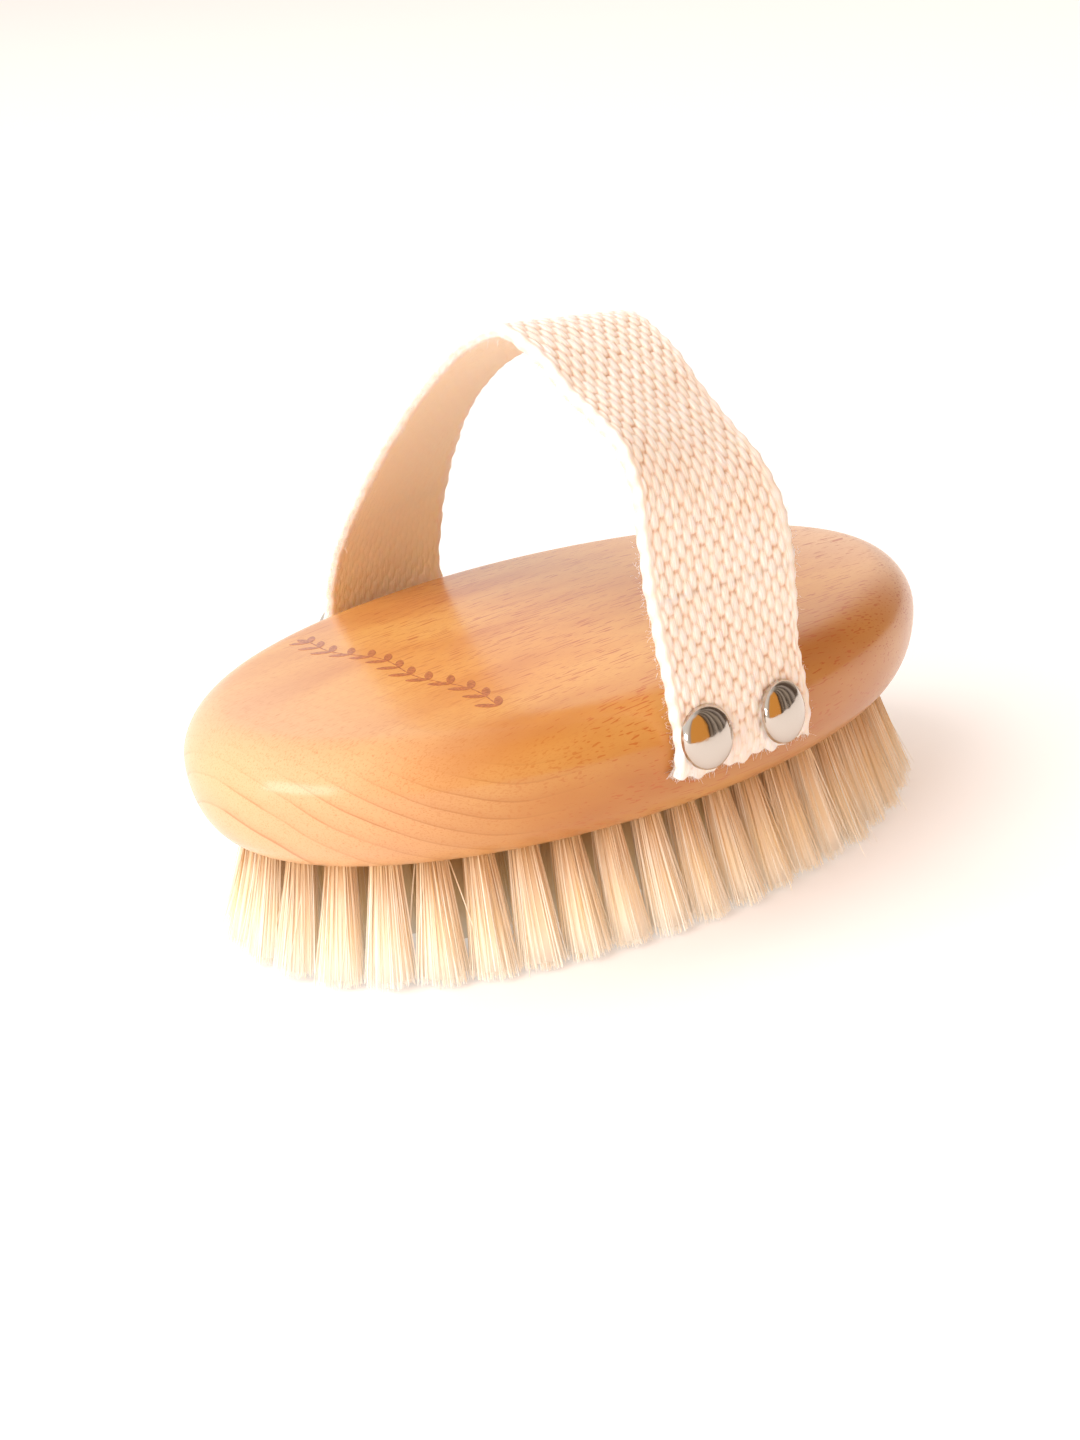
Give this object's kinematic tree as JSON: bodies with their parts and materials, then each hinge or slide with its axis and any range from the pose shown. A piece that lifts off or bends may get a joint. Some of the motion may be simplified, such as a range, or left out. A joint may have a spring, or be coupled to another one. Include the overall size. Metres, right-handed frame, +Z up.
{
  "type": "body dry brush",
  "caption": "Oval wooden body brush: a crowned block set with bristle tufts, with an arched webbing hand strap nailed to its long sides.",
  "frame": {"origin": "under the middle of the oval block, on the plane of the bristle tips", "axes": "+X along the block's length, -Y towards the strap's front end, +Z up through the block"},
  "size_m": [0.13, 0.0918, 0.0855],
  "materials": {
    "wood": "clear satin lacquer over warm reddish beech",
    "bristle": "natural cream bristle, slightly glossy strands",
    "webbing": "undyed coarse woven cotton",
    "nail": "polished nickel plate"
  },
  "bodies": {
    "block": {"wood_block": "wood", "outer_tuft_01": "bristle", "outer_tuft_02": "bristle", "outer_tuft_03": "bristle", "outer_tuft_04": "bristle", "outer_tuft_05": "bristle", "outer_tuft_06": "bristle", "outer_tuft_07": "bristle", "outer_tuft_08": "bristle", "outer_tuft_09": "bristle", "outer_tuft_10": "bristle", "outer_tuft_11": "bristle", "outer_tuft_12": "bristle", "outer_tuft_13": "bristle", "outer_tuft_14": "bristle", "outer_tuft_15": "bristle", "outer_tuft_16": "bristle", "outer_tuft_17": "bristle", "outer_tuft_18": "bristle", "outer_tuft_19": "bristle", "outer_tuft_20": "bristle", "outer_tuft_21": "bristle", "outer_tuft_22": "bristle", "outer_tuft_23": "bristle", "outer_tuft_24": "bristle", "outer_tuft_25": "bristle", "outer_tuft_26": "bristle", "outer_tuft_27": "bristle", "outer_tuft_28": "bristle", "outer_tuft_29": "bristle", "outer_tuft_30": "bristle", "outer_tuft_31": "bristle", "outer_tuft_32": "bristle", "outer_tuft_33": "bristle", "outer_tuft_34": "bristle", "outer_tuft_35": "bristle", "outer_tuft_36": "bristle", "outer_tuft_37": "bristle", "outer_tuft_38": "bristle", "outer_tuft_39": "bristle", "outer_tuft_40": "bristle", "outer_tuft_41": "bristle", "outer_tuft_42": "bristle", "outer_tuft_43": "bristle", "inner_tuft_row_1": "bristle", "inner_tuft_row_2": "bristle", "inner_tuft_row_3": "bristle", "inner_tuft_row_4": "bristle", "inner_tuft_row_5": "bristle", "inner_tuft_row_6": "bristle", "inner_tuft_row_7": "bristle", "front_left_nail": "nail", "front_right_nail": "nail", "rear_left_nail": "nail", "rear_right_nail": "nail", "strap_front_end": "webbing", "strap_rear_end": "webbing"},
    "strap_loop": {"strap_front_leg": "webbing", "strap_rear_leg": "webbing"},
    "strap_crown": {"strap_crown": "webbing"}
  },
  "joints": [
    {"name": "strap_lean", "type": "hinge", "parent": "block", "child": "strap_loop", "pos_m": [-0.0036, 0, 0.045], "axis": [0, 1, 0], "range_deg": [-25, 25], "stiffness_Nm_per_rad": 0.05, "deforming": ["strap_front_leg", "strap_rear_leg"]},
    {"name": "strap_press", "type": "slide", "parent": "strap_loop", "child": "strap_crown", "axis": [0, 0, -1], "range_m": [0, 0.02], "stiffness_N_per_m": 120, "deforming": ["strap_front_leg", "strap_rear_leg"]}
  ]
}
